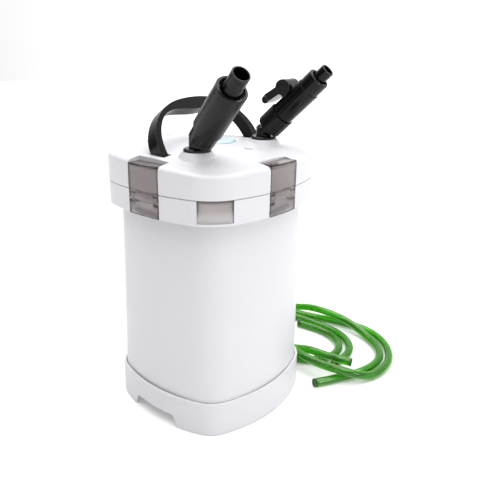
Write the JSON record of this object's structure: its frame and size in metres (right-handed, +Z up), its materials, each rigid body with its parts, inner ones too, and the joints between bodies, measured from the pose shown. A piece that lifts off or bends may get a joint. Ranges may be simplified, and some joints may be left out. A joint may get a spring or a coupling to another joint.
{
  "type": "canister filter",
  "caption": "Aquarium canister filter: white rounded-square vessel, pump head held by smoke latches, folding handle, swivelling intake and return connectors, loose green hoses.",
  "frame": {"origin": "on the floor under the middle of the vessel", "axes": "+Z up; +X toward the face that the two hose connectors lean over; +Y toward the return connector's side, where the hoses lie"},
  "size_m": [0.2838, 0.3678, 0.4022],
  "materials": {
    "white_plastic": "satin white moulded housing",
    "smoke_plastic": "smoke tinted translucent, polished",
    "black_plastic": "black moulded, fine satin texture",
    "blue_translucent": "pale blue translucent",
    "hose_green": "green translucent soft PVC, glossy",
    "rubber_black": "matt rubber",
    "grey_plastic": "grey moulded",
    "basket_grey": "dark grey basket moulding",
    "foam_blue": "open cell filter foam",
    "bio_ceramic": "pile of ceramic rings, matt",
    "floss_white": "white filter floss",
    "steel": "stainless, satin",
    "ceramic_white": "polished ceramic",
    "magnet_dark": "overmoulded magnet rotor"
  },
  "bodies": {
    "canister": {"canister_body": "white_plastic", "base_plinth": "white_plastic", "rubber_feet": "rubber_black", "collar_ring": "white_plastic", "corner_window": "smoke_plastic", "latch_pivot_bars": "white_plastic", "seal_ring": "rubber_black", "basket_lower": "basket_grey", "basket_middle": "basket_grey", "basket_upper": "basket_grey", "basket_lid": "basket_grey", "coarse_foam": "foam_blue", "bio_media": "bio_ceramic", "fine_pad": "floss_white", "intake_riser": "grey_plastic", "lid_shell": "white_plastic", "head_base": "grey_plastic", "head_screws": "steel", "motor_block": "grey_plastic", "volute_cover": "grey_plastic", "outlet_duct": "grey_plastic", "impeller_shaft": "ceramic_white", "shaft_bushes": "rubber_black", "primer_housing": "grey_plastic", "primer_bellows": "rubber_black", "handle_pins": "steel", "lid_plug": "white_plastic", "cable_gland": "rubber_black", "intake_port_ring": "black_plastic", "return_port_ring": "black_plastic", "loose_hose_1": "hose_green", "loose_hose_2": "hose_green"},
    "latch_front": {"latch_front": "smoke_plastic"},
    "latch_right": {"latch_right": "smoke_plastic"},
    "latch_back": {"latch_back": "smoke_plastic"},
    "latch_left": {"latch_left": "smoke_plastic"},
    "handle": {"carry_handle": "black_plastic"},
    "primer": {"primer_button": "blue_translucent"},
    "intake_tap": {"intake_elbow": "black_plastic", "intake_sleeve": "black_plastic", "intake_lock_nut": "black_plastic", "intake_nozzle": "black_plastic", "intake_o_rings": "rubber_black"},
    "return_tap": {"return_elbow": "black_plastic", "valve_body": "black_plastic", "return_lock_nut": "black_plastic", "return_nozzle": "black_plastic", "valve_lever_pins": "black_plastic", "return_o_rings": "rubber_black"},
    "valve_gate": {"valve_gate": "black_plastic"},
    "valve_lever": {"valve_lever": "black_plastic"},
    "impeller": {"impeller": "magnet_dark"}
  },
  "joints": [
    {"name": "latch_front_hinge", "type": "hinge", "parent": "canister", "child": "latch_front", "pos_m": [0.0958, 0, 0.268], "axis": [0, 1, 0], "range_deg": [0, 44]},
    {"name": "latch_back_hinge", "type": "hinge", "parent": "canister", "child": "latch_back", "pos_m": [-0.0958, 0, 0.268], "axis": [0, -1, 0], "range_deg": [0, 44]},
    {"name": "latch_right_hinge", "type": "hinge", "parent": "canister", "child": "latch_right", "pos_m": [0, 0.0998, 0.268], "axis": [-1, 0, 0], "range_deg": [0, 44]},
    {"name": "latch_left_hinge", "type": "hinge", "parent": "canister", "child": "latch_left", "pos_m": [0, -0.0998, 0.268], "axis": [1, 0, 0], "range_deg": [0, 44]},
    {"name": "handle_hinge", "type": "hinge", "parent": "canister", "child": "handle", "pos_m": [0, 0, 0.304], "axis": [0, -1, 0], "range_deg": [-32, 10]},
    {"name": "primer_press", "type": "slide", "parent": "canister", "child": "primer", "axis": [0, 0, -1], "range_m": [0, 0.008], "stiffness_N_per_m": 600, "springref_m": -0.001, "deforming": ["primer_bellows"]},
    {"name": "intake_swivel", "type": "hinge", "parent": "canister", "child": "intake_tap", "pos_m": [0.031, -0.0566, 0.315], "axis": [0, 0, 1], "range_deg": [-73, 42]},
    {"name": "return_swivel", "type": "hinge", "parent": "canister", "child": "return_tap", "pos_m": [0.031, 0.0566, 0.315], "axis": [0, 0, 1], "range_deg": [-33, 82]},
    {"name": "lever_hinge", "type": "hinge", "parent": "return_tap", "child": "valve_lever", "pos_m": [0.05962, 0.06062, 0.37547], "axis": [-0.1392, 0.9903, 0], "range_deg": [0, 90]},
    {"name": "gate_slide", "type": "slide", "parent": "return_tap", "child": "valve_gate", "axis": [0.6817, 0.0958, -0.7254], "range_m": [0, 0.0131]},
    {"name": "impeller_spin", "type": "hinge", "parent": "canister", "child": "impeller", "pos_m": [-0.046, -0.034, 0.28], "axis": [0, 0, 1], "continuous": true}
  ],
  "couplings": [
    {"joint": "gate_slide", "follows": "lever_hinge", "m_per_rad": 0.008276}
  ]
}
